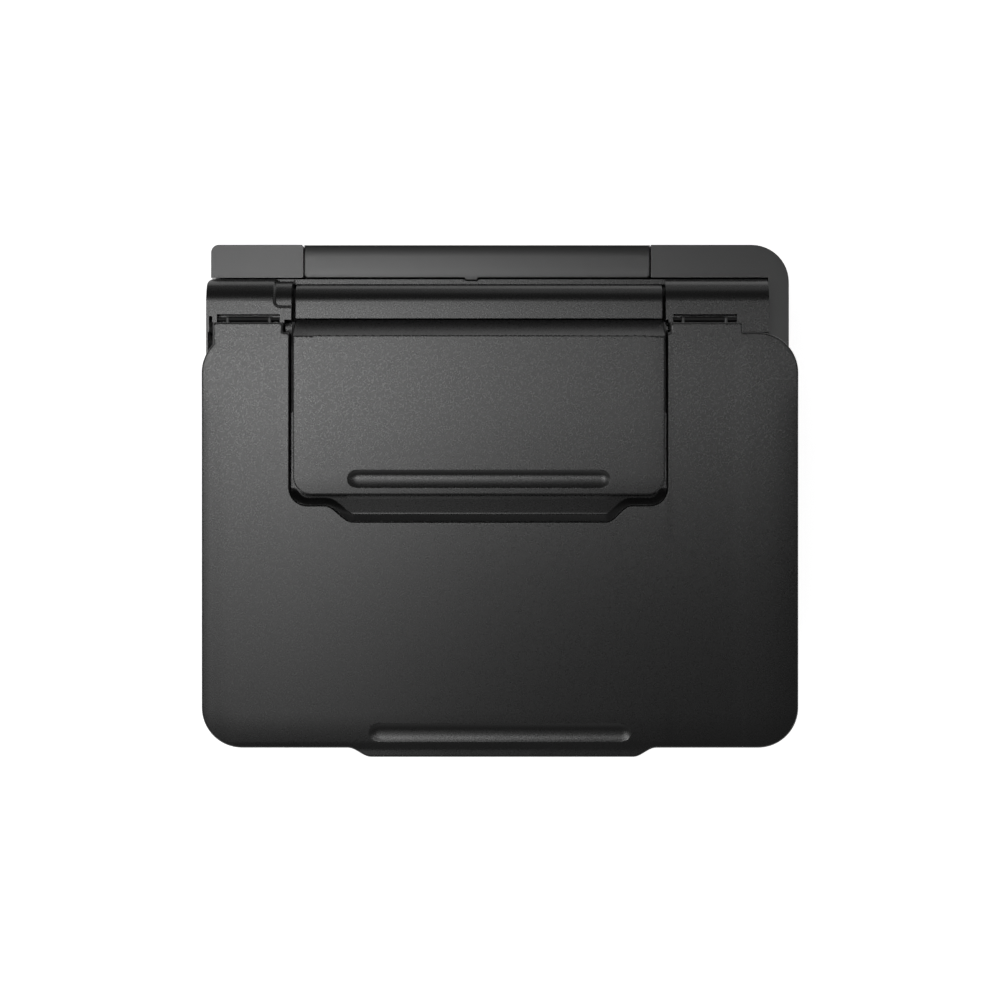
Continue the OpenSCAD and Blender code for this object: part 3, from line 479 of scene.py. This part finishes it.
def scoop(p, box, deepest):
    """A finger groove with round ends: 0 at its outline and 1 along its deepest line."""
    x0, y0, x1, y1 = box
    r = (y1 - y0) / 2
    u = (p[:, 1] - y0) / (y1 - y0)
    across = 1 - ((u - deepest) / np.where(u > deepest, 1 - deepest, deepest)) ** 2
    end = r - np.sqrt(np.maximum(r * r - (p[:, 1] - (y0 + y1) / 2) ** 2, 0))
    e = np.minimum(p[:, 0] - x0, x1 - p[:, 0]) - end
    along = 1 - (1 - np.clip(e / r, 0, 1)) ** 2
    return np.where((u > 0) & (u < 1), np.maximum(across, 0) * along, 0)


def lid_height(p, d):
    outer = np.maximum(signed(outer_loop, p), 0)
    lip = smoothstep(-p[:, 1], 165.5, 171.5)
    r = np.where(outer < d + 0.3, 1.2, 0.6)
    crown = 0.75 - 0.65 * smoothstep(p[:, 1], 40, 100)
    z = TOP - 0.15 - rounded_edge(d, r, 0, 1) - crown * np.maximum(0, 1 - outer / 22) ** 2
    z -= 0.45 * lip
    tongue = sum(smoothstep(p[:, 0], a - 4, a + 2) * smoothstep(-p[:, 0], -b - 4, -b + 2)
                 for a, b in TABS)
    z -= 0.1 * tongue * (1 - smoothstep(p[:, 1], 103, 107))
    return z - 1.15 * scoop(p, GROOVE, 0.58)


def lid_under(q):
    return np.where(q[:, 1] > 111.3, 184.0, 158.45)


def pull_in(edge):
    """Takes the finger lip back to the front edge below the overhang."""
    q = edge.copy()
    q[:, 1] = np.maximum(q[:, 1], FRONT)
    return q


seam = [(x, y) for a, b in TABS for x in np.arange(a + 0.6, b, 1.5)
        for y in (101.5, 103, 104.2, 105.4, 106.8, 110.9, 111.5)]
skin("lid_shell", lid_loop, lid_height, lid_under, BLACK, "lid", ("lid_cover",), lines=[seam],
     features=[(round_rect(*GROOVE, [SCOOP_R] * 4, 10), SCOOP_RINGS)],
     rings=(0.1, 0.3, 0.6, 1.0, 1.4, 2.0, 3.0, 4.5, 6.5, 9, 12, 15, 19, 24), step=2.2,
     skirt=[(178.0, None), (172.0, pull_in)])

# ---------------------------------------------------------------- hinges of the lid


def rod(name, x0, x1, y, z, r, material, body):
    """A round bar along x with chamfered ends."""
    n = 32
    a = np.linspace(0, 2 * math.pi, n, endpoint=False)
    verts, faces, norm = [], [], []
    c = min(0.3, r / 3)
    prof = [(x0, r - c), (x0 + c, r), (x1 - c, r), (x1, r - c)]
    for px, pr in prof:
        verts += [(px, y + pr * math.cos(k), z + pr * math.sin(k)) for k in a]
    for s in range(3):
        for i in range(n):
            j = (i + 1) % n
            faces.append((s * n + i, s * n + j, (s + 1) * n + j, (s + 1) * n + i))
    faces.append(tuple(range(n - 1, -1, -1)))
    faces.append(tuple(3 * n + i for i in range(n)))
    o = obj_from(name, verts, faces, None, material, body)
    o.modifiers.new("smooth", "NODES").node_group = SMOOTH


def block(name, x, y, z, r, material, body, segments=4):
    """A box from three pairs of limits, its edges rounded by r."""
    verts = [(a, b, c) for c in z for b in y for a in x]
    faces = [(0, 2, 3, 1), (4, 5, 7, 6), (0, 1, 5, 4), (2, 6, 7, 3), (0, 4, 6, 2), (1, 3, 7, 5)]
    o = obj_from(name, verts, faces, None, material, body)
    b = o.modifiers.new("edge", "BEVEL")
    b.width = r * MM
    b.segments = segments
    o.modifiers.new("smooth", "NODES").node_group = SMOOTH
    wn = o.modifiers.new("normals", "WEIGHTED_NORMAL")
    wn.keep_sharp = True


HINGE = (122, 168.6)   # y and z of the lid's axis
# s0 and s1 are the sides of the slot in each housing
for tag, s0, s1 in (("left", -194.1, -150.9), ("right", 118.6, 162.4)):
    # arms, barrels and pins in the slots take the black with painted shade, so the slots read dark
    block("hinge_arm_" + tag, (s0 + 8, s1 - 8), (110, 120.6), (166.4, 168.2), 0.5, PAINTED_SHADE_BLACK, "lid")
    rod("hinge_barrel_" + tag, s0 + 6, s1 - 6, *HINGE, 1.9, PAINTED_SHADE_BLACK, "lid")
    rod("hinge_pin_" + tag, s0 - 2.2, s1 + 2.2, *HINGE, 1.3, PAINTED_SHADE_BLACK, "lid")
    block("hinge_pad_" + tag, (s0 + 10.5, s1 - 10.5), (117.2, 119.6), (169.6, 170.9), 0.3, KEY, "lid", 2)
    for k, x in enumerate((s0 + 7.2, s1 - 7.2)):
        block("hinge_rib_%s_%d" % (tag, k), (x - 1.2, x + 1.2), (118.0, 123.4), (167.6, 170.9), 0.8, KEY,
              "lid", 3)

# ---------------------------------------------------------------- rim of the pocket in the left hinge housing

PX, PY, PR = -155.8, 129.2, 5.0                # left side, front and corner radius of the pocket
HOUSE_Y, HOUSE_Z, HOUSE_R = 134, 154.5, 17     # axis and radius of the housing's round rear
# points along the rim with the direction into the pocket
path = ([(PX, y, 1, 0) for y in np.linspace(150.6, PY + PR, 34)]
        + [(PX + PR + PR * math.cos(t), PY + PR + PR * math.sin(t), -math.cos(t), -math.sin(t))
           for t in np.radians(np.linspace(180, 270, 13))[1:]]
        + [(x, PY, 0, 1) for x in np.linspace(PX + PR, -143.4, 6)[1:]])


def house_top(y):
    return HOUSE_Z + math.sqrt(max(HOUSE_R ** 2 - max(y - HOUSE_Y, 0) ** 2, 0))


def house_slope(y):
    """How much longer the rim's drop is measured straight down than square to the housing."""
    if y < HOUSE_Y:
        return 1.0
    return HOUSE_R / max(math.sqrt(max(HOUSE_R ** 2 - (y - HOUSE_Y) ** 2, 1)), 4)


verts, faces = [], []
steps = [(0.0, 0.02), (0.35, -0.1), (0.8, -0.55), (1.3, -1.1), (1.8, -1.45), (2.2, -1.56)]
for x, y, nx, ny in path:
    for off, dz in steps:
        px, py = x + nx * off, y + ny * off
        verts.append((px, py, house_top(py) + dz * min(house_slope(py), 2.2)))
m = len(steps)
for k in range(len(path) - 1):
    faces += [(k * m + q, k * m + q + 1, (k + 1) * m + q + 1, (k + 1) * m + q) for q in range(m - 1)]
rim = obj_from("housing_pocket_rim", verts, faces, None, BLACK, "scanner")
rim.modifiers.new("smooth", "NODES").node_group = SMOOTH

# ---------------------------------------------------------------- document tray

TX0, TX1, TY, TRAY_R = -139.7, 111.3, 1.5, 12.2   # sides, front and front corners of the tray
TG = (-103.2, 5.7, 74.5, 18.2)                    # its finger groove
tray_loop = round_rect(TX0, TY, TX1, 121.1, [TRAY_R, TRAY_R, 0, 0], 14)


def rear_drop(y):
    """Drop of the steep part behind the tray's ridge."""
    return (y - 108.6) * 21.2 / 12.4


def tray_height(p, d):
    y = p[:, 1]
    # the outline carried on to the rear, so that only the front and side edges are rounded
    front = round_rect(TX0, TY, TX1, 240, [TRAY_R, TRAY_R, 0, 0], 14)
    df = np.maximum(signed(densify(front, 3), p), 0)
    z = TOP - 0.1 - rounded_edge(df, 0.7, 0.2, 14)
    slope = TOP - 0.1 - rear_drop(y)
    k = 0.7   # how softly the top runs over into the steep part
    h = np.clip(0.5 + 0.5 * (slope - z) / k, 0, 1)
    z = slope * (1 - h) + z * h - k * h * (1 - h)
    return z - 1.5 * scoop(p, TG, 0.66)


ys = np.concatenate([np.linspace(104, 112, 15), np.linspace(113, 120.8, 8)])
ridge = [(x, y) for y in ys for x in np.arange(TX0 + 1.5, TX1 - 1, 3)]


def tray_under(q):
    y = q[:, 1]
    pocket = rr_dist(q, TG[0] - 3, TG[1] - 3, TG[2] + 3, TG[3] + 3, 6)
    z = 189.4 - 2.9 * smoothstep(pocket, 0, 1.5)
    return np.clip(np.minimum(z, TOP - 4.2 - rear_drop(y)), 170.9, 193)


skin("document_tray_panel", tray_loop, tray_height, tray_under, BLACK, "document_tray", ("document_tray",),
     features=[(round_rect(*TG, [SCOOP_R] * 4, 10), SCOOP_RINGS)],
     rings=(0.1, 0.3, 0.6, 1.0, 1.6, 2.6, 4, 6, 9, 13), step=2.0, lines=[ridge])

# pins and arms of the tray inside the opening
for tag, x0, x1, out0, out1 in (("left", TX0 + 0.6, TX0 + 4, 1.6, 0),
                                ("right", TX1 - 4, TX1 - 0.6, 0, 1.2)):
    block("tray_hinge_ear_" + tag, (x0, x1), (104, 116.6), (171.6, 181), 1.5, INNER, "document_tray")
    rod("tray_hinge_pin_" + tag, x0 - out0, x1 + out1, 113.5, 177, 1.2, SHAFT, "document_tray")

# ---------------------------------------------------------------- floor in front of the tray

FLOOR_REAR = 58
well_loop = densify([(WX1, FLOOR_REAR)] + well_front + [(WX0, FLOOR_REAR)], 1.5)[::-1]
floor_loop = well_loop - outward(well_loop) * 0.35


def floor_height(p, d):
    """The floor falls away to the rear, and rises to the lid along its edge."""
    y = p[:, 1]
    base = np.mean([np.interp(y + k, (-18, -11.5, 3, 12, 24, 60),
                              (188.6, 188.4, 185.2, 184.3, 183.7, 183.6))
                    for k in np.linspace(-1, 1, 5)], axis=0)
    rise = (191.3 - base) * smoothstep(-y, -6, 2)
    ramp_up = np.mean([np.clip(1 - (d + k) / 4.9, 0, 1) for k in np.linspace(-0.35, 0.35, 5)], axis=0)
    return base + rise * ramp_up


skin("recess_floor", [tuple(q) for q in floor_loop], floor_height, 176, BLACK, "lid",
     rings=(0.3, 0.9, 1.6, 2.4, 3.2, 3.9, 4.4, 4.7, 5.0, 5.3, 5.8, 6.6, 7.6, 9, 11), step=1.6, grid=6)

# ---------------------------------------------------------------- rear tray cover


SX0, SY0, SX1, SY1 = -136.6, 152.45, 104.6, 175.7


def strip_height(p, d):
    return 148.0 - rounded_edge(d, 0.9, 0, 1) - 0.9 * np.maximum(0, 1 - (SY1 - p[:, 1]) / 9) ** 2 \
        - 0.35 * np.maximum(0, 1 - (p[:, 1] - SY0) / 7) ** 2


finger_tab = fillet([(-24.9, 153.0), (-24.4, 150.85), (-15.6, 150.85), (-15.1, 153.0)], [0, 1.0, 1.0, 0], 4)
strip_loop = ([(SX0, SY0), (-24.9, SY0)] + finger_tab[1:-1]
              + [(-15.1, SY0), (SX1, SY0), (SX1, SY1), (SX0, SY1)])
skin("rear_tray_lid", strip_loop, strip_height, 145.2, BODY, "rear_tray_cover", ("rear_tray_cover",),
     rings=(0.1, 0.3, 0.6, 0.9, 1.5, 2.5, 4, 6, 8), step=2.5)
block("rear_support_sheet", (-95, 65), (171.2, 173.1), (101, 145.6), 0.5, GREY, "rear_tray_cover", 2)

# ---------------------------------------------------------------- floor, light, camera

bpy.ops.mesh.primitive_plane_add(size=9, location=(0, 0, -0.0001))
ground = bpy.context.object
ground.name = "ground"
gm, gnt, gb = new_material("ground")
gco = gnt.nodes.new("ShaderNodeTexCoord").outputs["Object"]
link(gnt, ramp(gnt, noise(gnt, gco, 3), 0.9, 0.94, 0.3, 0.7), gb.inputs["Roughness"])
gb.inputs["Base Color"].default_value = (0.8, 0.8, 0.8, 1)
gb.inputs["Specular IOR Level"].default_value = 0.05
gb.inputs["Emission Color"].default_value = (1, 1, 1, 1)
gb.inputs["Emission Strength"].default_value = 0.8
ground.data.materials.append(gm)

# a room that is bright around and dim overhead
world = bpy.data.worlds.new("studio")
bpy.context.scene.world = world
world.use_nodes = True
wt = world.node_tree
gen = wt.nodes.new("ShaderNodeTexCoord").outputs["Generated"]
sep = wt.nodes.new("ShaderNodeSeparateXYZ")
link(wt, gen, sep.inputs["Vector"])
room = wt.nodes.new("ShaderNodeMath")
room.operation = "MULTIPLY"
link(wt, ramp(wt, sep.outputs["Z"], ROOM[0], ROOM[1], 0.1, 0.9), room.inputs[0])
link(wt, ramp(wt, sep.outputs["Y"], 1.0, 0.2, -0.1, 0.6), room.inputs[1])
link(wt, room.outputs[0], wt.nodes["Background"].inputs["Strength"])
wt.nodes["Background"].inputs["Color"].default_value = (1, 1, 1, 1)


def lamp(name, at, to, size, power):
    """An area light of the given width and depth in metres, at one point and facing another."""
    d = bpy.data.lights.new(name, "AREA")
    d.shape = "RECTANGLE"
    d.size, d.size_y = size
    d.energy = power
    o = bpy.data.objects.new(name, d)
    bpy.context.scene.collection.objects.link(o)
    o.location = at
    o.rotation_mode = "QUATERNION"
    o.rotation_quaternion = (Vector(to) - Vector(at)).to_track_quat("-Z", "Y")


# three strips and a softbox overhead, whose mirror images give the lid its gradient, and soft side lights
lamp("strip_left", (-0.55, 0.23, 2.3), (-0.55, 0.23, 0), (0.6, 0.12), 3.9)
lamp("strip_middle", (0.0, 0.23, 2.3), (0, 0.23, 0), (0.5, 0.12), 1.6)
lamp("strip_right", (0.5, 0.23, 2.3), (0.5, 0.23, 0), (0.5, 0.12), 1.15)
lamp("softbox", (-0.4, 0.2, 2.3), (-0.1, 0.1, 0.15), (1.2, 0.6), 5.4)
lamp("front_left", (-2.0, -2.2, 0.9), (0, 0, 0.1), (1.6, 1.2), 16)
lamp("front_right", (2.4, -1.6, 0.8), (0, 0, 0.1), (1.6, 1.2), 8)
lamp("rear", (0.6, 2.6, 0.9), (0, 0, 0.1), (1.8, 1.2), 3)
lamp("left", (-1.7, 0.4, 1.9), (0, 0, 0.15), (0.6, 0.6), 4)

cam_data = bpy.data.cameras.new("camera")
cam_data.lens = 71.35
cam_data.sensor_width = 36
cam = bpy.data.objects.new("camera", cam_data)
bpy.context.scene.collection.objects.link(cam)
cam.location = (0, -0.0022, 1.53)
cam.rotation_euler = (0, 0, 0)
bpy.context.scene.camera = cam
bpy.context.scene.view_settings.view_transform = "Standard"
